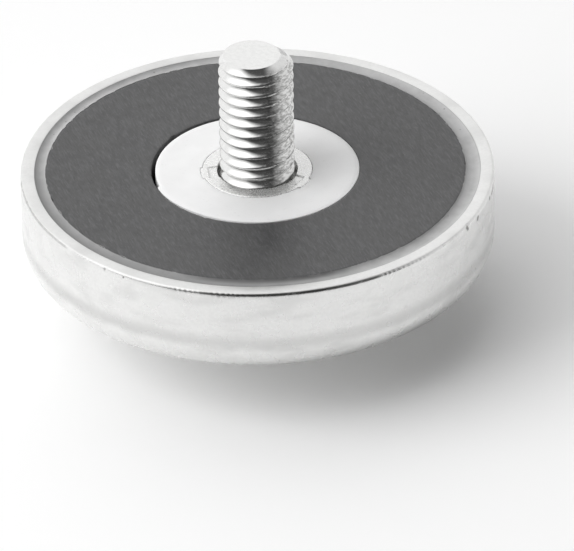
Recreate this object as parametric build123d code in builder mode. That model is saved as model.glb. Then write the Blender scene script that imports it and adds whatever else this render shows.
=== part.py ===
from build123d import *

import os
from math import radians, tan

# A round pot magnet: a drawn steel cup with a ferrite ring potted into it, a nylon ring round a
# flanged steel bush in the middle, and a countersunk screw through the bush from the back.
# Millimetres. +Z runs along the screw, from its head to its tip, and the holding face looks up.
# The origin is the middle of the head's flat face, on which the part stands.

# Drawn steel cup
cup_diameter = 50.0
cup_height = 10.0
cup_wall = 1.5
cup_floor = 1.5
cup_corner_radius = 3.0  # outside, where the side turns into the back
cup_inner_corner_radius = 1.0
rim_outer_edge = 0.25  # rounding left by the trimming tool
rim_inner_edge = 0.1

# Ferrite ring magnet, glued to the floor of the cup a little off centre
magnet_bore = 22.0
magnet_offset = 0.2  # towards -X
magnet_recess = 0.04  # below the rim
magnet_edge = 0.4  # chamfer of the pressed edges at the back

# Potting compound between the magnet and the wall
potting_gap = 1.35  # mean radial width
potting_recess = 0.1  # below the rim

# Nylon ring that centres the magnet on the bush
nylon_clearance = 0.04  # at the side where the magnet comes nearest
nylon_recess = 0.06  # below the rim
nylon_edge = 0.05

# Flanged bush, riveted through the cup and staked over the nylon ring
bush_diameter = 11.6
bush_bore = 8.5
bush_clearance = 0.03  # round the bush, in the floor of the cup and in the nylon
bush_recess = 0.02  # below the rim
bush_edge = 0.3
flange_diameter = 17.0
flange_thickness = 1.8
seat_chamfer = 0.25  # countersunk mouth of the bore, on which the screw's head sits
seat_gap = 0.02
stake_angles = (187, 328)
stake_width = 2.2
stake_length = 0.95  # of each punch mark, from the bore outwards
stake_depth = 0.2
stake_reach = 0.25  # how far the punched metal spreads into the nylon
stake_lip = 0.2  # thickness of that metal

# Countersunk screw with a hexagon socket, M8 by 30
screw_length = 30.0
head_diameter = 16.0
head_angle = 90
head_land = 0.8
head_edge = 0.15
socket_width = 5.0  # across the flats
socket_depth = 3.0
drill_point_angle = 118
shank_diameter = 7.1
thread_diameter = 7.9  # over the crests
thread_length = 13.8
thread_start_chamfer = 0.3
tip_diameter = 6.1
tip_chamfer = 1.0

# Radii
pocket_radius = cup_diameter / 2 - cup_wall
magnet_radius = pocket_radius - potting_gap
nylon_radius = magnet_bore / 2 - magnet_offset - nylon_clearance
bush_radius = bush_diameter / 2
bush_hole_radius = bush_radius + bush_clearance
mark_radius = bush_bore / 2 + stake_length
lip_radius = bush_radius + stake_reach
seat_radius = bush_bore / 2 + seat_chamfer

# Heights along the screw
head_fall = 1 / tan(radians(head_angle / 2))  # height of the head's cone for each unit of radius
cone_height = (head_diameter - shank_diameter) / 2 * head_fall
flange_back = head_land + (head_diameter / 2 - seat_radius) * head_fall + seat_gap
cup_back = flange_back + flange_thickness
floor_top = cup_back + cup_floor
rim = cup_back + cup_height
magnet_face = rim - magnet_recess
potting_face = rim - potting_recess
nylon_face = rim - nylon_recess
bush_face = rim - bush_recess
lip_base = bush_face - stake_lip
thread_start = screw_length - thread_length


# Cup: a drawn disc with a round corner, a flat pocket and a hole for the bush
with BuildPart() as steel_cup:
    with BuildSketch(Plane.XY.offset(cup_back)):
        Circle(cup_diameter / 2)
    extrude(amount=cup_height)
    fillet(steel_cup.edges().group_by(Axis.Z)[0], cup_corner_radius)
    fillet(steel_cup.edges().group_by(Axis.Z)[-1], rim_outer_edge)
    with BuildSketch(Plane.XY.offset(floor_top)):
        Circle(pocket_radius)
    extrude(until=Until.LAST, mode=Mode.SUBTRACT)
    pocket_edges = steel_cup.edges().filter_by(GeomType.CIRCLE)
    fillet(pocket_edges.filter_by_position(Axis.Z, floor_top, floor_top), cup_inner_corner_radius)
    rim_edges = steel_cup.edges().group_by(Axis.Z)[-1]
    chamfer(rim_edges.sort_by(SortBy.RADIUS)[0], rim_inner_edge)
    with Locations((0, 0, floor_top)):
        Hole(bush_hole_radius, depth=cup_floor)


# Magnet: a ground ferrite ring, its back edges chamfered clear of the cup's inner corner
with BuildPart() as ring_magnet:
    with BuildSketch(Plane.XY.offset(floor_top)):
        with Locations((-magnet_offset, 0)):
            Circle(magnet_radius)
            Circle(magnet_bore / 2, mode=Mode.SUBTRACT)
    extrude(amount=magnet_face - floor_top)
    chamfer(ring_magnet.edges().group_by(Axis.Z)[0], magnet_edge)


# Potting: it fills the pocket round the magnet, so it is wider on the side away from the offset
with BuildPart() as potting_ring:
    with BuildSketch(Plane.XY.offset(floor_top)):
        Circle(pocket_radius)
    extrude(amount=potting_face - floor_top)
    fillet(potting_ring.edges().group_by(Axis.Z)[0], cup_inner_corner_radius)
    with BuildSketch(Plane.XY.offset(floor_top)):
        with Locations((-magnet_offset, 0)):
            Circle(magnet_radius)
    extrude(until=Until.LAST, mode=Mode.SUBTRACT)


# Nylon ring, centred on the bush, with a pocket where each stake has spread into it
with BuildPart() as nylon_ring:
    with BuildSketch(Plane.XY.offset(floor_top)):
        Circle(nylon_radius)
        Circle(bush_hole_radius, mode=Mode.SUBTRACT)
    extrude(amount=nylon_face - floor_top)
    face_edges = nylon_ring.edges().group_by(Axis.Z)[-1]
    fillet(face_edges.sort_by(SortBy.RADIUS)[-1], nylon_edge)
    for stake_angle in stake_angles:
        with BuildSketch(Plane.XY.rotated((0, 0, stake_angle)).offset(lip_base - bush_clearance)):
            with Locations(((lip_radius + bush_clearance) / 2, 0)):
                Rectangle(lip_radius + bush_clearance, stake_width + 2 * bush_clearance)
        extrude(until=Until.LAST, mode=Mode.SUBTRACT)


# Bush: flange behind the cup, tube through the nylon, and a countersunk mouth for the screw's head
with BuildPart() as flanged_bush:
    with BuildSketch(Plane.XZ):
        with BuildLine():
            Polyline(
                (seat_radius, flange_back),
                (flange_diameter / 2, flange_back),
                (flange_diameter / 2, cup_back),
                (bush_radius, cup_back),
                (bush_radius, bush_face),
                (bush_bore / 2, bush_face),
                (bush_bore / 2, flange_back + seat_chamfer * head_fall),
                close=True,
            )
        make_face()
    revolve(axis=Axis.Z)
    fillet(flanged_bush.edges().group_by(Axis.Z)[0].sort_by(SortBy.RADIUS)[-1], bush_edge)
    fillet(flanged_bush.edges().group_by(Axis.Z)[-1].sort_by(SortBy.RADIUS)[-1], bush_edge)

    # each punch mark is open to the bore, and its metal stands out as a lip in the nylon
    for stake_angle in stake_angles:
        stake_axis = Plane.XY.rotated((0, 0, stake_angle))
        with BuildSketch(stake_axis.offset(lip_base)):
            with Locations(((mark_radius + lip_radius) / 2, 0)):
                Rectangle(lip_radius - mark_radius, stake_width)
        extrude(amount=nylon_face - lip_base)
        with BuildSketch(stake_axis.offset(bush_face)):
            with Locations((mark_radius / 2, 0)):
                Rectangle(mark_radius, stake_width)
        extrude(amount=-stake_depth, mode=Mode.SUBTRACT)


# Screw: 90 degree head, plain shank in the bush, threaded end drawn at the crests
with BuildPart() as countersunk_screw:
    with BuildSketch(Plane.XZ):
        with BuildLine():
            Polyline(
                (0, 0),
                (head_diameter / 2, 0),
                (head_diameter / 2, head_land),
                (shank_diameter / 2, head_land + cone_height),
                (shank_diameter / 2, thread_start - thread_start_chamfer),
                (thread_diameter / 2, thread_start),
                (thread_diameter / 2, screw_length - tip_chamfer),
                (tip_diameter / 2, screw_length),
                (0, screw_length),
                close=True,
            )
        make_face()
    revolve(axis=Axis.Z)
    fillet(countersunk_screw.edges().group_by(Axis.Z)[0], head_edge)
    with BuildSketch():
        RegularPolygon(socket_width / 2, 6, major_radius=False)
    extrude(amount=socket_depth, mode=Mode.SUBTRACT)
    point_height = socket_width / 2 / tan(radians(drill_point_angle / 2))
    with BuildSketch(Plane.XZ):
        with BuildLine():
            Polyline(
                (0, socket_depth),
                (socket_width / 2, socket_depth),
                (0, socket_depth + point_height),
                close=True,
            )
        make_face()
    revolve(axis=Axis.Z, mode=Mode.SUBTRACT)


os.makedirs("parts", exist_ok=True)

steel_cup.part.label = "steel_cup"
export_step(steel_cup.part, "parts/steel_cup.step")

ring_magnet.part.label = "ring_magnet"
export_step(ring_magnet.part, "parts/ring_magnet.step")

potting_ring.part.label = "potting_ring"
export_step(potting_ring.part, "parts/potting_ring.step")

nylon_ring.part.label = "nylon_ring"
export_step(nylon_ring.part, "parts/nylon_ring.step")

flanged_bush.part.label = "flanged_bush"
export_step(flanged_bush.part, "parts/flanged_bush.step")

countersunk_screw.part.label = "countersunk_screw"
export_step(countersunk_screw.part, "parts/countersunk_screw.step")
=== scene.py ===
from math import atan2, ceil, cos, degrees, pi, radians, sin, tan

import bmesh
import bpy
from mathutils import Matrix, Vector, noise


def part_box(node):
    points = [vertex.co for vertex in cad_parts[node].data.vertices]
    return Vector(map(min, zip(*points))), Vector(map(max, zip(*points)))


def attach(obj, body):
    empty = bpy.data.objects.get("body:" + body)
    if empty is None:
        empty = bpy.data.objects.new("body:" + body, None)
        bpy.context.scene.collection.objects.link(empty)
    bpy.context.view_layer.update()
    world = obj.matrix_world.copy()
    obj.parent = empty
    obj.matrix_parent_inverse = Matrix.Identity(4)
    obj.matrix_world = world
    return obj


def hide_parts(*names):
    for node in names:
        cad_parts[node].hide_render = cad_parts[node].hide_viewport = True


# A round pot magnet stands on the head of its own screw, threaded end up.
# Metres, +Z up. Every piece is built round the Z axis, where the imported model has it.
# The pieces' dictionaries hold millimetres and degrees. A bore, a tube or a crest is a radius.

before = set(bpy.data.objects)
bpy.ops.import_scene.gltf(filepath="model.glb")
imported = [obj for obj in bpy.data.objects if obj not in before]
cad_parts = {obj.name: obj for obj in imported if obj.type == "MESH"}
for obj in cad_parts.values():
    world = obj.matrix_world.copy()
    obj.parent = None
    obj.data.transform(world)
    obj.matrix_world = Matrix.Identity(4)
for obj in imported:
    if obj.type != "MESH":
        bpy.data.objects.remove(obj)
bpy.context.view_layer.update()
mm = 0.001
scene = bpy.context.scene
print("frame loaded:", ", ".join(sorted(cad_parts)))


def boxOf(nodeName):
    low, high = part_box(nodeName)
    return low / mm, high / mm


# ---- camera ----

cameraView = {
    "imageSize": (574, 551),  # pixels
    "rimCentre": (257.4, 168.1),  # where the middle of the rim's plane falls, in pixels
    "pixelsPerMm": 9.49,  # at the middle of the rim
    "distance": 1000.0,  # mm from the rim to the lens, along the line of sight
    "elevation": 32.0,  # degrees above the rim's plane
    "roll": 0.87,  # degrees that the picture is turned, anticlockwise
    "sensorWidth": 36.0,
}


def placeCamera(view, aim):
    tilt, roll = radians(view["elevation"]), radians(view["roll"])
    rightward = Vector((1, 0, 0))
    upward = Vector((0, sin(tilt), cos(tilt)))
    backward = Vector((0, -cos(tilt), sin(tilt)))
    turnedRight = rightward * cos(roll) - upward * sin(roll)
    turnedUp = rightward * sin(roll) + upward * cos(roll)
    width, height = view["imageSize"]
    acrossMm = (view["rimCentre"][0] - width / 2) / view["pixelsPerMm"]
    upMm = (height / 2 - view["rimCentre"][1]) / view["pixelsPerMm"]
    fromAim = backward * view["distance"] - turnedRight * acrossMm - turnedUp * upMm
    data = bpy.data.cameras.new("camera")
    data.sensor_width = view["sensorWidth"]
    data.lens = view["pixelsPerMm"] * view["distance"] * data.sensor_width / width
    camera = bpy.data.objects.new("camera", data)
    scene.collection.objects.link(camera)
    axes = Matrix((turnedRight, turnedUp, backward)).transposed().to_4x4()
    camera.matrix_world = Matrix.Translation(aim + fromAim * mm) @ axes
    scene.camera = camera


rimHeight = boxOf("steel_cup")[1].z
placeCamera(cameraView, Vector((0, 0, rimHeight * mm)))
print("camera placed")


# ---- helpers for materials ----

def linearColour(hexText):
    channels = [int(hexText[i:i + 2], 16) / 255 for i in (1, 3, 5)]
    return [c / 12.92 if c <= 0.04045 else ((c + 0.055) / 1.055) ** 2.4 for c in channels] + [1.0]


def addNode(tree, kind, inputs=None, **settings):
    # inputs holds values, or output sockets to link from
    node = tree.nodes.new("ShaderNode" + kind)
    for name, value in settings.items():
        setattr(node, name, value)
    for name, value in (inputs or {}).items():
        socket = node.inputs[name]
        if isinstance(value, bpy.types.NodeSocket):
            tree.links.new(value, socket)
        else:
            socket.default_value = value
    return node


def maths(tree, operation, *values):
    return addNode(tree, "Math", dict(enumerate(values)), operation=operation).outputs[0]


def product(tree, value, *factors):
    for factor in factors:
        value = maths(tree, "MULTIPLY", value, factor)
    return value


def vectorMaths(tree, operation, *values):
    return addNode(tree, "VectorMath", dict(enumerate(values)), operation=operation).outputs


def startMaterial(name):
    material = bpy.data.materials.new(name)
    material.use_nodes = True
    tree = material.node_tree
    place = tree.nodes.new("ShaderNodeTexCoord").outputs["Object"]
    return material, tree, tree.nodes["Principled BSDF"], place


def noiseOver(tree, place, sizeMm, detail=2.0, stretch=(1, 1, 1)):
    # noise whose grains are about sizeMm wide, drawn out by stretch along each axis
    scaled = addNode(tree, "Mapping", {"Vector": place, "Scale": [1 / part for part in stretch]})
    return addNode(tree, "TexNoise", {
        "Vector": scaled.outputs[0], "Scale": 1 / (sizeMm * mm), "Detail": detail,
    }).outputs["Fac"]


def ringsOver(tree, place, sizeMm, detail=2.0):
    # noise that changes only with the distance from the Z axis, as turning lines do
    return addNode(tree, "TexNoise", {
        "W": radiusOver(tree, place), "Scale": 1 / (sizeMm * mm), "Detail": detail,
    }, noise_dimensions="1D").outputs["Fac"]


def spread(tree, value, low, high, start=0.0, end=1.0):
    # moves a value from the range low..high to start..end, with soft ends
    return addNode(tree, "MapRange", {
        "Value": value, "From Min": low, "From Max": high, "To Min": start, "To Max": end,
    }, interpolation_type="SMOOTHSTEP").outputs["Result"]


def vary(tree, grain, start=0.0, end=1.0):
    # moves a noise, whose values lie mostly between 0.3 and 0.7, to start..end
    return spread(tree, grain, 0.3, 0.7, start, end)


def blendColours(tree, share, first, second):
    # a colour is a hex text, or a socket to link from
    first, second = [
        linearColour(colour) if isinstance(colour, str) else colour for colour in (first, second)
    ]
    return addNode(tree, "Mix", {0: share, 6: first, 7: second}, data_type="RGBA").outputs[2]


def blendLevels(tree, share, first, second):
    return addNode(tree, "Mix", {0: share, 2: first, 3: second}, data_type="FLOAT").outputs[0]


def radiusOver(tree, place):
    # distance from the Z axis
    flat = vectorMaths(tree, "MULTIPLY", place, (1, 1, 0))[0]
    return vectorMaths(tree, "LENGTH", flat)["Value"]


def heightOver(tree, place):
    return addNode(tree, "SeparateXYZ", {"Vector": place}).outputs["Z"]


def outwardOver(tree, place):
    # the direction away from the Z axis
    flat = vectorMaths(tree, "MULTIPLY", place, (1, 1, 0))[0]
    return vectorMaths(tree, "NORMALIZE", flat)[0]


def facing(tree, way, direction):
    # how far a direction points the same way as another, from -1 to 1
    return vectorMaths(tree, "DOT_PRODUCT", way, direction)["Value"]


def spotsOver(tree, place, spots, grain=0.35, shift=0.5):
    # 1 inside each small ragged spot, 0 elsewhere; a spot is its place and radius in mm
    ragged = addNode(tree, "TexNoise", {"Vector": place, "Scale": 1 / (grain * mm), "Detail": 2.0})
    ragged = vectorMaths(tree, "SUBTRACT", ragged.outputs["Color"], (0.5, 0.5, 0.5))[0]
    moved = vectorMaths(tree, "MULTIPLY_ADD", ragged, [shift * mm] * 3, place)[0]
    inside = 0.0
    for x, y, z, radius in spots:
        away = vectorMaths(tree, "DISTANCE", moved, (x * mm, y * mm, z * mm))["Value"]
        near = spread(tree, away, radius * mm, 0.3 * radius * mm)
        inside = maths(tree, "MAXIMUM", near, inside)
    return inside


def addBumps(tree, shader, layers):
    # layers: (height socket, depth in mm), each on top of the one before
    normal = None
    for height, depth in layers:
        inputs = {"Height": height, "Strength": 1.0, "Distance": depth * mm}
        if normal:
            inputs["Normal"] = normal
        normal = addNode(tree, "Bump", inputs).outputs["Normal"]
    tree.links.new(normal, shader.inputs["Normal"])


def finishMaterial(tree, shader, colour, roughness, bumps, metallic=0.0):
    tree.links.new(colour, shader.inputs["Base Color"])
    tree.links.new(roughness, shader.inputs["Roughness"])
    shader.inputs["Metallic"].default_value = metallic
    addBumps(tree, shader, bumps)


# ---- helpers for meshes ----

def latheShape(bm, outline, segments, closed=True):
    # outline: (radius, height) in mm; it is spun right round the Z axis
    corners = [bm.verts.new((radius * mm, 0, height * mm)) for radius, height in outline]
    following = corners[1:] + corners[:1] if closed else corners[1:]
    sides = [bm.edges.new(pair) for pair in zip(corners, following)]
    bmesh.ops.spin(
        bm, geom=corners + sides, cent=(0, 0, 0), axis=(0, 0, 1), dvec=(0, 0, 0),
        angle=2 * pi, steps=segments, use_merge=True, use_normal_flip=False, use_duplicate=False,
    )
    bmesh.ops.remove_doubles(bm, verts=bm.verts, dist=0.0005 * mm)


def roundCorner(bm, corner, amount, segments):
    # rounds a corner of an outline before it is spun
    bmesh.ops.bevel(
        bm, geom=[corner], offset=amount * mm, segments=segments, profile=0.5,
        affect="VERTICES", material=-1,
    )


def ringAt(bm, radius, height, near=0.002):
    # the edges of one lathe ring
    def onRing(vertex):
        x = abs(vertex.co.xy.length / mm - radius)
        return x < near and abs(vertex.co.z / mm - height) < near
    return [edge for edge in bm.edges if all(onRing(vertex) for vertex in edge.verts)]


def roundRing(bm, radius, height, amount, segments):
    bmesh.ops.bevel(
        bm, geom=ringAt(bm, radius, height), offset=amount * mm, segments=segments,
        profile=0.5, affect="EDGES", material=-1, clamp_overlap=False,
    )


def angleOf(vertex):
    return degrees(atan2(vertex.co.y, vertex.co.x)) % 360


def ripple(vertex, sizeMm, seed):
    # smooth noise round the Z axis, about -1 to 1, the same on every run; seed picks a pattern
    return noise.noise(Vector((vertex.co.x / mm / sizeMm, vertex.co.y / mm / sizeMm, seed)))


def ramp(value, start, end):
    share = min(max((value - start) / (end - start), 0.0), 1.0)
    return share * share * (3 - 2 * share)


def window(value, start, end, soft):
    # 1 between start and end, falling to 0 over soft at each side
    return ramp(value, start - soft, start) * (1 - ramp(value, end, end + soft))


def pushOut(vertex, amountMm):
    vertex.co.xy += vertex.co.xy.normalized() * amountMm * mm


def meshObject(bm, name):
    mesh = bpy.data.meshes.new(name)
    bm.to_mesh(mesh)
    bm.free()
    thing = bpy.data.objects.new(name, mesh)
    scene.collection.objects.link(thing)
    return thing


def finishPiece(bm, name, node, material, creaseAngle=40):
    bmesh.ops.recalc_face_normals(bm, faces=bm.faces)
    for face in bm.faces:
        face.smooth = True
    for edge in bm.edges:
        edge.smooth = edge.calc_face_angle(0.0) < radians(creaseAngle)
    piece = meshObject(bm, name)
    piece.data.materials.append(material)
    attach(piece, "root")
    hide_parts(node)
    print("made", name, len(piece.data.polygons), "faces")


# ---- steel cup ----

cup = {
    "wall": 1.5,
    "floor": 1.5,
    "bushHole": 5.83,
    "backCorner": 3.0,
    "innerCorner": 1.0,
    "rimEdge": 0.33,
    "rimInnerEdge": 0.1,
    "steadyRings": (0.8, 0.5),  # depths below the rim; they keep the marks of its edge off the side
    "segments": 1152,
    "edgeWander": 0.02,  # how far the trimmed edge of the rim wanders
    "edgeGrain": 0.008,
    # tool marks on that edge: from, to and spacing in degrees, depth
    "chatter": [
        (174, 226, 2.3, 0.03), (221, 233, 1.2, 0.035), (250, 266, 1.3, 0.04),
        (301, 316, 1.35, 0.06), (316, 334, 2.6, 0.06), (40, 150, 1.9, 0.03),
    ],
    # angle, half width in degrees, depth
    "nicks": [(230.5, 0.6, 0.08), (331.5, 0.8, 0.1), (97, 0.8, 0.08)],
    # painted shade along parts of the rim's outer edge
    "edgeShade": [(184, 217, 0.35), (256, 300, 0.55)],  # from and to in degrees, and how dark
    "edgeShadeDepths": (0.16, 0.08, 0.38, 0.3),  # inside the side, then below the rim: from, to
    # small dents on the side: angle, depth below the rim, radius
    "dents": [
        (331.0, 0.4, 0.4), (336.8, 0.6, 0.4), (346.6, 0.6, 0.4), (351.3, 0.6, 0.5),
        (349.6, 0.7, 0.4), (185.1, 0.1, 0.2), (193.9, 0.15, 0.2), (236.0, 0.4, 0.2),
    ],
    "dentDepth": 0.05,
    # painted shade band round the side: heights above the back where it begins, is full, fades and
    # ends
    "shadeBand": (3.2, 4.2, 4.4, 5.6),
    "shadeBandWave": 1.0,
    "plate": ("#ECECEB", "#F2F2F1"),
    "grainColour": "#E2E2E1",
    "cloudColour": "#DCDCDB",
    "shadeBandColour": "#C2C2C1",
    "dentColour": "#8C8B89",
    "edgeShadeColour": "#6E6D6B",
    "roughness": (0.25, 0.31),
    "rimRoughness": 0.16,  # more on the rim's face
}


def zincOnDrawnSteel(outer, back, rim):
    # bright zinc plate over drawn steel: satin, mottled, with fine draw lines and small dents
    material, tree, shader, place = startMaterial("zincOnDrawnSteel")
    radius, height = radiusOver(tree, place), heightOver(tree, place)
    mottle = noiseOver(tree, place, 2.4, 3.0)
    grain = noiseOver(tree, place, 0.28)
    cloud = noiseOver(tree, place, 1.6, stretch=(3, 3, 1))
    draw = noiseOver(tree, place, 0.4, stretch=(8, 8, 1))
    turned = ringsOver(tree, place, 0.16)
    colour = blendColours(tree, vary(tree, mottle), *cup["plate"])
    grainShare = spread(tree, grain, 0.35, 0.75, 0.0, 0.35)
    colour = blendColours(tree, grainShare, colour, cup["grainColour"])
    cloudShare = spread(tree, cloud, 0.45, 0.75, 0.0, 0.6)
    colour = blendColours(tree, cloudShare, colour, cup["cloudColour"])

    # painted shade band round the side, just above the back corner
    begins, full, fades, ends = [(back + above) * mm for above in cup["shadeBand"]]
    wavy = maths(tree, "MULTIPLY_ADD", cloud, cup["shadeBandWave"] * mm, height)
    shadeBand = product(
        tree, spread(tree, wavy, begins, full, 0.0, 0.45), spread(tree, wavy, ends, fades))
    colour = blendColours(tree, shadeBand, colour, cup["shadeBandColour"])

    dents = spotsOver(tree, place, [
        (outer * cos(radians(angle)), outer * sin(radians(angle)), rim - depth, size)
        for angle, depth, size in cup["dents"]
    ])
    colour = blendColours(tree, dents, colour, cup["dentColour"])

    # painted shade along parts of the rim's outer edge
    outward = outwardOver(tree, place)
    inside, outside, below, above = cup["edgeShadeDepths"]
    onEdge = product(
        tree, spread(tree, radius, (outer - inside) * mm, (outer - outside) * mm),
        spread(tree, height, (rim - below) * mm, (rim - above) * mm))
    broken = spread(tree, noiseOver(tree, place, 0.5), 0.25, 0.45)
    for start, end, share in cup["edgeShade"]:
        middle, half = radians((start + end) / 2), (end - start) / 2
        along = facing(tree, outward, (cos(middle), sin(middle), 0))
        along = spread(tree, along, cos(radians(half + 1)), cos(radians(half - 1)))
        line = product(tree, onEdge, along, broken, share)
        colour = blendColours(tree, line, colour, cup["edgeShadeColour"])

    onRim = spread(tree, height, (rim - 0.1) * mm, (rim - 0.02) * mm, 0.0, cup["rimRoughness"])
    roughness = maths(tree, "ADD", vary(tree, mottle, *cup["roughness"]), onRim)
    finishMaterial(tree, shader, colour, roughness, [
        (grain, 0.0015), (draw, 0.002), (turned, 0.001), (dents, -cup["dentDepth"]),
    ], metallic=1.0)
    return material


def makeCup():
    low, high = boxOf("steel_cup")
    outer, back, rim = high.x, low.z, high.z
    pocket, floorTop = outer - cup["wall"], back + cup["floor"]
    bm = bmesh.new()
    latheShape(bm, [(cup["bushHole"], back), (outer, back)] + [
        (outer, rim - depth) for depth in cup["steadyRings"]
    ] + [
        (outer, rim), (pocket, rim), (pocket, floorTop), (cup["bushHole"], floorTop),
    ], cup["segments"])
    roundRing(bm, outer, back, cup["backCorner"], 14)
    roundRing(bm, outer, rim, cup["rimEdge"], 5)
    roundRing(bm, pocket, rim, cup["rimInnerEdge"], 2)
    roundRing(bm, pocket, floorTop, cup["innerCorner"], 4)
    for vertex in bm.verts:
        depth, away = rim - vertex.co.z / mm, vertex.co.xy.length / mm
        if depth > cup["rimEdge"] + 0.01 or away < outer - 1.5 * cup["rimEdge"]:
            continue
        angle = angleOf(vertex)
        inward = cup["edgeWander"] * (0.5 + 0.5 * ripple(vertex, 2.5, 3))
        inward += cup["edgeGrain"] * abs(ripple(vertex, 0.4, 8))
        for start, end, spacing, deep in cup["chatter"]:
            beat = 0.5 + 0.5 * sin(2 * pi * angle / spacing + 2 * ripple(vertex, 1.5, 5))
            uneven = 0.5 + ripple(vertex, 1.2, 6)
            inward += deep * beat ** 3 * window(angle, start, end, 2) * uneven
        for nickAngle, half, deep in cup["nicks"]:
            inward += deep * (1 - ramp(abs(angle - nickAngle), 0.3 * half, half))
        pushOut(vertex, -max(inward, 0.0))
    surface = zincOnDrawnSteel(outer, back, rim)
    finishPiece(bm, "drawnCup", "steel_cup", surface)


makeCup()


# ---- ferrite ring ----

magnet = {
    "bore": 11.0,
    "edge": 0.05,
    "backEdge": 0.4,
    "faceRing": 0.35,  # a ring this far inside each edge keeps the chips near the edge
    "segments": 512,
    "scratchAngle": 19,  # from the Y axis, the way the face was ground
    "chipDepth": 0.14,  # of the small chips along both edges
    "crumble": 0.07,  # how far those edges have crumbled between the chips
    "base": ("#434344", "#4C4C4C"),
    "broadScratch": "#525253",
    "darkScratch": "#3A3A3B",
    "paleScratch": "#606061",
    "speck": "#6A6A6B",
    "roughness": (0.36, 0.46),
}


def groundFerrite():
    # sintered ferrite, ground flat: dark grey, half matt, clouded, with fine straight scratches
    material, tree, shader, place = startMaterial("groundFerrite")
    turn = (0, 0, radians(-magnet["scratchAngle"]))
    turned = addNode(tree, "Mapping", {"Vector": place, "Rotation": turn}).outputs[0]
    fine = noiseOver(tree, turned, 0.15, 3.0, (1, 7, 1))
    broad = noiseOver(tree, turned, 0.6, 3.0, (1, 3, 1))
    cloud = noiseOver(tree, place, 4.0, 3.0)
    speck = noiseOver(tree, place, 0.18, 1.0)
    colour = blendColours(tree, vary(tree, cloud), *magnet["base"])
    for grain, low, high, share, name in (
        (broad, 0.4, 0.7, 0.8, "broadScratch"), (fine, 0.48, 0.3, 0.6, "darkScratch"),
        (fine, 0.52, 0.7, 0.55, "paleScratch"), (speck, 0.62, 0.76, 0.4, "speck"),
    ):
        share = spread(tree, grain, low, high, 0.0, share)
        colour = blendColours(tree, share, colour, magnet[name])
    roughness = vary(tree, cloud, *magnet["roughness"])
    finishMaterial(tree, shader, colour, roughness, [(fine, 0.003), (broad, 0.005)])
    return material


def makeMagnet():
    low, high = boxOf("ring_magnet")
    centreX, radius = (low.x + high.x) / 2, (high.x - low.x) / 2
    bm = bmesh.new()
    latheShape(bm, [
        (magnet["bore"], low.z), (radius, low.z), (radius, high.z),
        (radius - magnet["faceRing"], high.z), (magnet["bore"] + magnet["faceRing"], high.z),
        (magnet["bore"], high.z),
    ], magnet["segments"])
    for ringRadius in (radius, magnet["bore"]):
        roundRing(bm, ringRadius, high.z, magnet["edge"], 2)
        roundRing(bm, ringRadius, low.z, magnet["backEdge"], 1)
    nearEdge = magnet["edge"] + 0.01
    for vertex in bm.verts:
        if vertex.co.z / mm < high.z - nearEdge:
            continue
        away = vertex.co.xy.length / mm
        chip = ramp(ripple(vertex, 0.7, 11), 0.42, 0.6) * magnet["chipDepth"]
        chip += magnet["crumble"] * max(0.0, ripple(vertex, 0.4, 12))
        if away < magnet["bore"] + nearEdge:
            pushOut(vertex, chip)
        elif away > radius - nearEdge:
            pushOut(vertex, -chip)
    bmesh.ops.translate(bm, verts=bm.verts, vec=(centreX * mm, 0, 0))
    finishPiece(bm, "ferriteRing", "ring_magnet", groundFerrite())


makeMagnet()


# ---- potting ----

potting = {
    "innerCorner": 1.0,
    "segments": 720,
    # where the rings of its face are, as shares of its width from the magnet to the wall
    "faceRings": (0.0, 0.06, 0.14, 0.25, 0.4, 0.6, 0.75, 0.88, 0.95, 1.0),
    "meniscus": 0.16,  # how far its middle sinks between the magnet and the wall
    "edgeRise": 0.05,  # how far it climbs at both sides
    "waves": 0.005,
    "smear": 0.28,  # widest reach over the magnet's edge
    "smearRise": 0.03,
    "base": ("#ACACAC", "#B9B9B9"),
    "shadedSide": (-0.6, -0.8, 0),  # direction of the side painted darker, as painted shade
    "darkColour": "#6E6E6E",
    "frontShadeSide": (0.05, -1, 0),  # where it is painted darker along the magnet, as painted shade at the front
    "frontShadeReach": (22.8, 22.2),
    "frontShadeColour": "#4C4C4C",
    "pitColour": "#8C8C8C",
    "roughness": (0.34, 0.46),
}


def castEpoxy():
    # epoxy poured in grey and left as it set: smooth, slightly cloudy, with a few burst bubbles
    material, tree, shader, place = startMaterial("castEpoxy")
    cloud = noiseOver(tree, place, 1.4, 3.0)
    ringed = ringsOver(tree, place, 0.22)
    bubble = addNode(tree, "TexVoronoi", {"Vector": place, "Scale": 1 / (1.1 * mm)})
    pit = spread(tree, bubble.outputs["Distance"], 0.13, 0.05)
    outward = outwardOver(tree, place)
    colour = blendColours(tree, vary(tree, cloud), *potting["base"])
    # painted shade: the potting is darker towards the front left
    dark = spread(tree, facing(tree, outward, potting["shadedSide"]), 0.25, 0.85, 0.0, 0.6)
    colour = blendColours(tree, dark, colour, potting["darkColour"])
    # painted shade along the magnet's edge at the front
    outerReach, innerReach = potting["frontShadeReach"]
    frontShade = product(
        tree, spread(tree, facing(tree, outward, potting["frontShadeSide"]), 0.9, 0.99, 0.0, 0.7),
        spread(tree, radiusOver(tree, place), outerReach * mm, innerReach * mm))
    colour = blendColours(tree, frontShade, colour, potting["frontShadeColour"])
    colour = blendColours(tree, pit, colour, potting["pitColour"])
    roughness = vary(tree, cloud, *potting["roughness"])
    bumps = [(cloud, 0.008), (ringed, 0.012), (pit, -0.02)]
    finishMaterial(tree, shader, colour, roughness, bumps)
    return material


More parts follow.
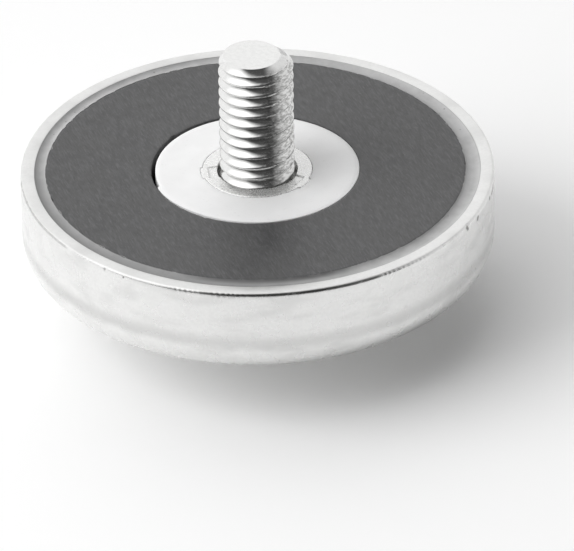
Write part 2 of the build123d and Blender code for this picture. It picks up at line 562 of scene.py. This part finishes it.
def makePotting():
    low, high = boxOf("potting_ring")
    magnetLow, magnetHigh = boxOf("ring_magnet")
    centreX, radius = (magnetLow.x + magnetHigh.x) / 2, (magnetHigh.x - magnetLow.x) / 2
    width = high.x - radius
    bm = bmesh.new()
    latheShape(bm, [(radius, low.z), (high.x, low.z)] + [
        (radius + width * share, high.z) for share in reversed(potting["faceRings"])
    ], potting["segments"])
    roundRing(bm, high.x, low.z, potting["innerCorner"], 5)
    for vertex in bm.verts:
        share = (vertex.co.xy.length / mm - radius) / width
        if vertex.co.z / mm > high.z - 0.01:
            sag = 1 - abs(2 * share - 1) ** 2.2
            lift = potting["edgeRise"] - (potting["meniscus"] + potting["edgeRise"]) * sag
            vertex.co.z += (lift + potting["waves"] * ripple(vertex, 1.3, 21) * sag) * mm
            reach = max(0.0, ripple(vertex, 1.1, 24) * 0.9 + ripple(vertex, 0.35, 25) * 0.6 - 0.06)
            if share < 0.01:
                pushOut(vertex, -potting["smear"] * min(reach, 1.0))
                vertex.co.z += potting["smearRise"] * mm
        # the side next to the magnet is off centre with it
        if share < 0.5:
            vertex.co.x += centreX * mm * (1 - max(share, 0.0))
    finishPiece(bm, "pottingFill", "potting_ring", castEpoxy())


makePotting()


# ---- nylon ring ----

nylon = {
    "bore": 5.83,
    "edge": 0.05,
    "boreEdge": 0.03,
    "faceRing": 0.6,  # a ring this far inside each edge keeps the face between them flat
    "sideRing": 1.0,  # and one this far down its side
    "segments": 384,
    # moulding flash that fills the gap to the magnet on one side: from, to in degrees, reach
    "flash": (196.5, 236, 0.33),
    "burr": 0.03,
    "burrSide": (190, 240),
    "pocketDepth": 0.23,  # where each stake of the bush has spread into it
    "pocketReach": 0.2,
    "base": ("#F3F3F3", "#F7F7F7"),
    "speck": "#E6E6E6",
    "roughness": (0.4, 0.5),
}
# the two places where the bush was punched, shared by the nylon ring and the bush
stakes = {"angles": (187, 328), "width": 2.2, "length": 0.95, "depth": 0.13, "reach": 0.2}


def mouldedNylon():
    # natural nylon, moulded and faced off: milky white, soft at its edges, lightly scratched
    material, tree, shader, place = startMaterial("mouldedNylon")
    cloud = noiseOver(tree, place, 3.0)
    scratch = noiseOver(tree, place, 0.2, stretch=(1, 14, 1))
    speck = noiseOver(tree, place, 0.3, 1.0)
    colour = blendColours(tree, vary(tree, cloud), *nylon["base"])
    colour = blendColours(tree, spread(tree, speck, 0.66, 0.8, 0.0, 0.5), colour, nylon["speck"])
    shader.inputs["Subsurface Weight"].default_value = 0.3
    shader.inputs["Subsurface Radius"].default_value = (1.0, 1.0, 1.0)
    shader.inputs["Subsurface Scale"].default_value = 0.8 * mm
    roughness = vary(tree, scratch, *nylon["roughness"])
    finishMaterial(tree, shader, colour, roughness, [(scratch, 0.003), (cloud, 0.02)])
    return material


def stakePlace(vertex, stakeAngle):
    # how far out and how far across a vertex is, along one stake
    turn = radians(angleOf(vertex) - stakeAngle)
    away = vertex.co.xy.length / mm
    return away * cos(turn), away * sin(turn)


def makeNylon():
    low, high = boxOf("nylon_ring")
    bore, outside, pocketFloor = nylon["bore"], high.x, high.z - nylon["pocketDepth"]
    bm = bmesh.new()
    latheShape(bm, [
        (bore, low.z), (outside, low.z), (outside, high.z - nylon["sideRing"]), (outside, high.z),
        (outside - nylon["faceRing"], high.z), (bore + nylon["faceRing"], high.z), (bore, high.z),
        (bore, pocketFloor), (bore, pocketFloor - 0.05),
    ], nylon["segments"])
    roundRing(bm, outside, high.z, nylon["edge"], 2)
    roundRing(bm, bore, high.z, nylon["boreEdge"], 1)
    start, end, reach = nylon["flash"]
    for vertex in bm.verts:
        away, height, angle = vertex.co.xy.length / mm, vertex.co.z / mm, angleOf(vertex)
        if away > outside - 0.1 and height > high.z - 0.5:
            grown = ramp(angle, start, start + 2.5) * (1 - ramp(angle, start + 6, end))
            burr = nylon["burr"] * max(0.0, ripple(vertex, 0.4, 31))
            burr *= window(angle, *nylon["burrSide"], 4)
            pushOut(vertex, reach * grown + burr)
        if away < bore + 0.05 and height > pocketFloor - 0.01:
            for stakeAngle in stakes["angles"]:
                out, across = stakePlace(vertex, stakeAngle)
                if out > 0:
                    half = stakes["width"] / 2
                    inPocket = 1 - ramp(abs(across), half, half + 0.12)
                    pushOut(vertex, nylon["pocketReach"] * inPocket)
    finishPiece(bm, "nylonRing", "nylon_ring", mouldedNylon())


makeNylon()


# ---- flanged bush ----

bush = {
    "bore": 4.25,
    "tube": 5.8,  # outside
    "seatChamfer": 0.25,
    "flange": 1.8,  # its thickness
    "edge": 0.3,  # of the flange
    "faceEdge": 0.12,
    "boreEdge": 0.05,
    "lipWidth": 0.3,  # the outer part of the face, which the stakes push outwards
    "sideRing": 0.45,  # a ring this far down the tube keeps the stakes off its side
    "faceRings": 12,
    "faceRingSpacing": 0.1,
    "segments": 512,
    "waves": 0.012,
    "burr": 0.05,  # roughness of the punched metal
    "plate": ("#EAEAE9", "#F2F2F1"),
    "blot": "#D4D4D2",
    "metallic": 0.65,
    "roughness": (0.24, 0.3),
}


def zincOnTurnedSteel():
    # bright zinc plate over a turned bush, with fine turning lines round the face
    material, tree, shader, place = startMaterial("zincOnTurnedSteel")
    grain = noiseOver(tree, place, 0.4, 3.0)
    blot = noiseOver(tree, place, 0.25)
    turned = ringsOver(tree, place, 0.2, 0.0)
    colour = blendColours(tree, vary(tree, grain), *bush["plate"])
    colour = blendColours(tree, spread(tree, blot, 0.66, 0.76, 0.0, 0.3), colour, bush["blot"])
    roughness = vary(tree, grain, *bush["roughness"])
    bumps = [(grain, 0.0003), (turned, 0.0006)]
    finishMaterial(tree, shader, colour, roughness, bumps, metallic=bush["metallic"])
    return material


def makeBush():
    low, high = boxOf("flanged_bush")
    flangeRadius, flangeTop = high.x, low.z + bush["flange"]
    bore, tube = bush["bore"], bush["tube"]
    lipStart, markLength = tube - bush["lipWidth"], bore + stakes["length"]
    faceRadii = [bore + bush["faceRingSpacing"] * step for step in range(1, bush["faceRings"] + 1)]
    bm = bmesh.new()
    latheShape(bm, [
        (bore + bush["seatChamfer"], low.z), (flangeRadius, low.z), (flangeRadius, flangeTop),
        (tube, flangeTop), (tube, high.z - bush["sideRing"]), (tube, high.z),
    ] + [(radius, high.z) for radius in reversed(faceRadii)] + [
        (bore, high.z), (bore, low.z + bush["seatChamfer"]),
    ], bush["segments"])
    roundRing(bm, flangeRadius, low.z, bush["edge"], 4)
    roundRing(bm, tube, high.z, bush["faceEdge"], 4)
    roundRing(bm, bore, high.z, bush["boreEdge"], 2)
    for vertex in bm.verts:
        depth = high.z - vertex.co.z / mm
        if depth > bush["faceEdge"] + 0.2:
            continue
        away = vertex.co.xy.length / mm
        vertex.co.z -= bush["waves"] * abs(ripple(vertex, 1.4, 41)) * mm
        for stakeAngle in stakes["angles"]:
            out, across = stakePlace(vertex, stakeAngle)
            if out < 0:
                continue
            half, aside = stakes["width"] / 2, abs(across + 0.1 * ripple(vertex, 0.6, 44))
            inWidth = 1 - ramp(aside, half - 0.16, half)
            markEnd = markLength + 0.08 * ripple(vertex, 0.4, 45)
            inMark = inWidth * (1 - ramp(out, markEnd - 0.12, markEnd + 0.06))
            vertex.co.z -= stakes["depth"] * inMark * mm
            inLip = inWidth * ramp(out, markLength, lipStart + 0.1)
            rough = bush["burr"] * inLip * (0.4 + 0.8 * ripple(vertex, 0.28, 47))
            vertex.co.z += (max(0.0, depth - 0.06) * inLip - max(0.0, rough)) * mm
            pushOut(vertex, stakes["reach"] * inLip * ramp(away, lipStart - 0.2, tube))
    finishPiece(bm, "stakedBush", "flanged_bush", zincOnTurnedSteel())


makeBush()


# ---- screw ----

screw = {
    "crest": 3.95,
    "root": 3.37,
    "pitch": 1.25,
    "crestFlat": 0.14,
    "crestRounding": 0.11,  # of the crest's edge towards the tip
    "flank": 0.75,  # height of the hollow flank that looks towards the tip; the other is straight
    "flankCut": 0.82,  # share of the hollow flank that the groove follows, up from the root
    "flankSteps": 8,
    "startHeight": 9.34,  # where the thread starts
    "startTaper": 0.4,
    "grooveTop": 32.0,  # how high the groove runs, past the tip
    "tip": 3.0,
    "tipEdge": (0.12, 0.28),  # a steep step below the tip's face, then the chamfer
    "tipChamfer": 0.88,
    "tipShift": 0.42,  # the chamfer was cut off centre, towards -X
    "shank": 3.55,
    "headLand": 0.8,
    "headEdge": 0.15,
    "landEdge": 0.1,
    "socket": 5.0,  # across the flats
    "socketDepth": 3.0,
    "socketChamfer": 0.15,
    "drillPoint": 118,
    "segments": 192,
    "stepsPerTurn": 96,
    "scuffedSide": -38,
    "scuffWidth": (15, 34),  # from the middle of that side to where the knocks fade and end
    "scuffHeights": (13.0, 15.0),  # over which the scuffs set in
    "dings": 0.07,  # depth of the small knocks in the crests on that side
    "dingReach": 0.06,  # how far inside the crests they still change the metal
    "rootShadeReach": 0.14,  # how far above the root the groove is painted darker, as painted shade
    "crease": 44,
    "plate": ("#EBEBEA", "#F0F0EF"),
    "scuffColour": "#9A9A98",
    "grooveShadeColour": "#8E8E8C",
    "roughness": (0.14, 0.18),
}


def zincOnRolledThread(tipHeight):
    # bright zinc plate over a rolled thread: shiny, with painted shade in the grooves, scuffed on
    # one side
    material, tree, shader, place = startMaterial("zincOnRolledThread")
    grain = noiseOver(tree, place, 0.5)
    scuff = noiseOver(tree, place, 0.14, 3.0, (4, 4, 1))
    height = heightOver(tree, place)
    side = radians(screw["scuffedSide"])
    onSide = facing(tree, outwardOver(tree, place), (cos(side), sin(side), 0))
    scuffed = product(
        tree, scuff, spread(tree, onSide, 0.5, 0.9),
        # neither on the tip's face nor below the thread that stands out
        spread(tree, height, (tipHeight - 0.05) * mm, (tipHeight - 0.7) * mm),
        spread(tree, height, *[limit * mm for limit in screw["scuffHeights"]]))
    colour = blendColours(tree, vary(tree, grain), *screw["plate"])
    scuffShare = spread(tree, scuffed, 0.4, 0.6, 0.0, 0.6)
    colour = blendColours(tree, scuffShare, colour, screw["scuffColour"])
    # painted shade in the grooves, near the root
    radius, root = radiusOver(tree, place), screw["root"]
    rootShade = product(
        tree, spread(tree, radius, (root + screw["rootShadeReach"]) * mm, root * mm, 0.0, 0.55),
        spread(tree, height, (tipHeight - 0.6) * mm, (tipHeight - 0.9) * mm))
    colour = blendColours(tree, rootShade, colour, screw["grooveShadeColour"])
    roughness = vary(tree, grain, *screw["roughness"])
    bumps = [(grain, 0.0008), (scuffed, 0.035)]
    finishMaterial(tree, shader, colour, roughness, bumps, metallic=1.0)
    return material


def makeGroove(bm):
    # the space between the turns of the thread: a coil, closed at both ends
    crest, root, pitch = screw["crest"], screw["root"], screw["pitch"]
    halfMouth = (pitch - screw["crestFlat"]) / 2
    mouthLow, mouthHigh = screw["startHeight"] - halfMouth, screw["startHeight"] + halfMouth
    outside, justOutside = crest + 0.4, crest + 0.005
    rootHeight = mouthLow + screw["flank"]
    steps = screw["flankSteps"]
    shares = [screw["flankCut"] * step / steps for step in range(steps, -1, -1)]
    outline = [
        (outside, mouthLow - 0.12), (justOutside, mouthLow - 0.115), (justOutside, mouthLow),
    ] + [
        (root + (crest - root) * share ** 2, rootHeight - screw["flank"] * share)
        for share in shares
    ] + [(crest, mouthHigh), (outside, mouthHigh)]
    corners = [bm.verts.new((radius * mm, 0, height * mm)) for radius, height in outline]
    for pair in zip(corners, corners[1:] + corners[:1]):
        bm.edges.new(pair)
    roundCorner(bm, corners[2], screw["crestRounding"], 3)
    bmesh.ops.spin(
        bm, geom=bm.verts[:] + bm.edges[:], cent=(0, 0, 0), axis=(0, 0, 1),
        dvec=(0, 0, pitch * mm / screw["stepsPerTurn"]), angle=2 * pi,
        steps=screw["stepsPerTurn"], use_merge=False, use_normal_flip=False, use_duplicate=False,
    )
    firstTurn = bm.verts[:] + bm.edges[:] + bm.faces[:]
    for turn in range(1, ceil((screw["grooveTop"] - screw["startHeight"]) / pitch)):
        nextTurn = bmesh.ops.duplicate(bm, geom=firstTurn)["geom"]
        moved = [part for part in nextTurn if isinstance(part, bmesh.types.BMVert)]
        bmesh.ops.translate(bm, verts=moved, vec=(0, 0, turn * pitch * mm))
    bmesh.ops.remove_doubles(bm, verts=bm.verts, dist=0.001 * mm)
    bmesh.ops.holes_fill(bm, edges=[edge for edge in bm.edges if edge.is_boundary], sides=0)


def makeSocket(bm):
    # a hexagon whose mouth flares out at 45 degrees, begun below the head's face
    corner = screw["socket"] / 2 / cos(radians(30))
    flare, depth, below = screw["socketChamfer"], screw["socketDepth"], 0.5
    latheShape(bm, [
        (0, -below), (corner + flare + below, -below), (corner, flare), (corner, depth), (0, depth),
    ], 6, closed=False)


def makeDrillPoint(bm):
    # the point that the drill left under the socket, begun inside the socket
    radius, depth, start = screw["socket"] / 2, screw["socketDepth"], 1.0
    tall = radius / tan(radians(screw["drillPoint"] / 2))
    latheShape(bm, [
        (0, start), (radius, start), (radius, depth), (0, depth + tall),
    ], 48, closed=False)


def cutAway(bm, makeCutter):
    # takes the cutter's solid away from bm's and gives the rest back in a new bmesh
    cutter = bmesh.new()
    makeCutter(cutter)
    solids = []
    for solid, name in ((bm, "blank"), (cutter, "cutter")):
        bmesh.ops.recalc_face_normals(solid, faces=solid.faces)
        solids.append(meshObject(solid, name))
    tool = solids[0].modifiers.new("cut", "BOOLEAN")
    tool.object = solids[1]
    tool.operation = "DIFFERENCE"
    tool.solver = "MANIFOLD"
    evaluated = solids[0].evaluated_get(bpy.context.evaluated_depsgraph_get())
    cutMesh = bpy.data.meshes.new_from_object(evaluated)
    for used in solids:
        bpy.data.objects.remove(used)
    result = bmesh.new()
    result.from_mesh(cutMesh)
    return result


def makeScrew():
    high = boxOf("countersunk_screw")[1]
    headRadius, tipHeight = high.x, high.z
    crest, tip, land = screw["crest"], screw["tip"], screw["headLand"]
    coneTop = land + headRadius - screw["shank"]
    stepOut, stepDown = screw["tipEdge"]
    bm = bmesh.new()
    latheShape(bm, [
        (0, 0), (headRadius, 0), (headRadius, land), (screw["shank"], coneTop),
        (screw["shank"], screw["startHeight"]), (crest, screw["startHeight"] + screw["startTaper"]),
        (crest, tipHeight - screw["tipChamfer"]), (tip + stepOut, tipHeight - stepDown),
        (tip, tipHeight), (0, tipHeight),
    ], screw["segments"], closed=False)
    roundRing(bm, headRadius, 0, screw["headEdge"], 3)
    roundRing(bm, headRadius, land, screw["landEdge"], 2)
    for vertex in bm.verts:
        if vertex.co.z / mm > tipHeight - stepDown - 0.01:
            vertex.co.x -= screw["tipShift"] * mm
    for makeCutter in (makeGroove, makeSocket, makeDrillPoint):
        bm = cutAway(bm, makeCutter)
    for vertex in bm.verts:
        height = vertex.co.z / mm
        inside = vertex.co.xy.length / mm < crest - screw["dingReach"]
        if inside or height < screw["startHeight"]:
            continue
        turn = (angleOf(vertex) - screw["scuffedSide"] + 180) % 360 - 180
        knocked = screw["dings"] * (1 - ramp(abs(turn), *screw["scuffWidth"]))
        pushOut(vertex, -knocked * (0.5 + 0.6 * ripple(vertex, 0.4, height / 0.4)))
        vertex.co.z += knocked * ripple(vertex, 0.5, 50 + height / 0.5) * mm
    surface = zincOnRolledThread(tipHeight)
    finishPiece(
        bm, "threadedScrew", "countersunk_screw", surface, screw["crease"])


makeScrew()


# ---- floor and light ----

table = {
    "size": 3.0,  # metres
    "colour": "#FCFCFC",
    "bouncedColour": "#C8C8C8",  # in the light that it throws back on the magnet
    "darkColour": "#444444",  # in reflections of its front, where the room is dark
    "front": (-0.056, -0.086),  # metres along Y, where that front begins and is full
    "glow": 0.06,  # to the camera
    "mirroredGlow": 0.04,  # in reflections
    "openRadius": 7.7,  # mm, under the screw's head
}


def paleFloor():
    # smooth white table: plain white where nothing shades it, and clear from below
    material, tree, shader, place = startMaterial("paleFloor")
    shader.inputs["Roughness"].default_value = 0.9
    shader.inputs["Specular IOR Level"].default_value = 0.0
    rays = tree.nodes.new("ShaderNodeLightPath").outputs
    seen, mirrored = rays["Is Camera Ray"], rays["Is Glossy Ray"]
    forward = addNode(tree, "SeparateXYZ", {"Vector": place}).outputs["Y"]
    darkFront = product(tree, mirrored, spread(tree, forward, *table["front"]))
    colour = blendColours(tree, rays["Is Diffuse Ray"], table["colour"], table["bouncedColour"])
    colour = blendColours(tree, darkFront, colour, table["darkColour"])
    tree.links.new(colour, shader.inputs["Base Color"])
    paleMirrored = maths(tree, "SUBTRACT", mirrored, darkFront)
    glow = product(tree, seen, table["glow"])
    glow = maths(tree, "MULTIPLY_ADD", paleMirrored, table["mirroredGlow"], glow)
    glow = addNode(tree, "Emission", {"Color": (1, 1, 1, 1), "Strength": glow})
    lit = addNode(tree, "AddShader", {0: shader.outputs[0], 1: glow.outputs[0]})

    # open to a camera below it, and under the screw's head, so that the head's face has light there
    fromBelow = tree.nodes.new("ShaderNodeNewGeometry").outputs["Backfacing"]
    underHead = maths(tree, "LESS_THAN", radiusOver(tree, place), table["openRadius"] * mm)
    opening = maths(tree, "MAXIMUM", product(tree, fromBelow, seen), underHead)
    clear = addNode(tree, "BsdfTransparent")
    both = addNode(tree, "MixShader", {0: opening, 1: lit.outputs[0], 2: clear.outputs[0]})
    tree.links.new(both.outputs[0], tree.nodes["Material Output"].inputs["Surface"])
    return material


def makeFloor():
    bm = bmesh.new()
    bmesh.ops.create_grid(bm, x_segments=1, y_segments=1, size=table["size"] / 2)
    floor = meshObject(bm, "floor")
    floor.data.materials.append(paleFloor())


# the room as the magnet sees it: light at the back and the left, and dark where the camera is
room = {
    # each light: direction, the range of facing over which it grows, level on matt things and
    # level in reflections
    "backLeft": ((-0.8, 0.48, 0.29), (-0.04, 0.38), 1.15, 0.92),
    "right": ((0.8, 0.6, 0), (0.12, 0.85), 0.1, 0.72),
    "overhead": ((-0.55, -0.1, 0.83), (0.78, 0.93), 0.0, 0.35),
    "overheadLimit": (0.15, 0.35),  # range of facing the back left over which that light grows
    "dark": (0.05, 0.07),  # level on matt things and in reflections
    "below": ((0, 0, -1), (0.05, 0.5), 0.6),  # only what is seen from below the floor gets this
}
keyLamp = {
    "direction": (-0.84, -0.22, 0.55),
    "distance": 0.7,  # metres
    "size": 0.7,
    "power": 3.0,  # watts
}


def makeLamp():
    towards = Vector(keyLamp["direction"]).normalized()
    data = bpy.data.lights.new("keyLamp", "AREA")
    data.shape = "DISK"
    data.size = keyLamp["size"]
    data.energy = keyLamp["power"]
    lamp = bpy.data.objects.new("keyLamp", data)
    lamp.location = towards * keyLamp["distance"]
    lamp.rotation_mode = "QUATERNION"
    lamp.rotation_quaternion = towards.to_track_quat("Z", "Y")
    lamp.visible_glossy = False
    lamp.visible_camera = False
    scene.collection.objects.link(lamp)


def makeWorld():
    world = bpy.data.worlds.new("studio")
    scene.world = world
    world.use_nodes = True
    tree = world.node_tree
    background = tree.nodes["Background"]
    background.inputs["Color"].default_value = (1, 1, 1, 1)
    way = tree.nodes.new("ShaderNodeTexCoord").outputs["Generated"]
    rays = tree.nodes.new("ShaderNodeLightPath").outputs

    def byRay(matt, mirrored):
        return blendLevels(tree, rays["Is Glossy Ray"], matt, mirrored)

    def lightFrom(name):
        direction, growth, matt, mirrored = room[name]
        grown = spread(tree, facing(tree, way, direction), *growth)
        return product(tree, grown, byRay(matt, mirrored))

    level = maths(tree, "MAXIMUM", lightFrom("backLeft"), lightFrom("right"))
    level = maths(tree, "ADD", level, byRay(*room["dark"]))
    towardsBackLeft = facing(tree, way, room["backLeft"][0])
    limit = spread(tree, towardsBackLeft, *room["overheadLimit"])
    level = maths(tree, "ADD", level, product(tree, lightFrom("overhead"), limit))
    direction, growth, most = room["below"]
    below = spread(tree, facing(tree, way, direction), *growth, 0.0, most)
    level = maths(tree, "MAXIMUM", level, below)
    # plain white to the camera
    shown = blendLevels(tree, rays["Is Camera Ray"], level, 1.0)
    tree.links.new(shown, background.inputs["Strength"])


makeFloor()
makeLamp()
makeWorld()
scene.view_settings.view_transform = "Standard"
print("floor and light set")
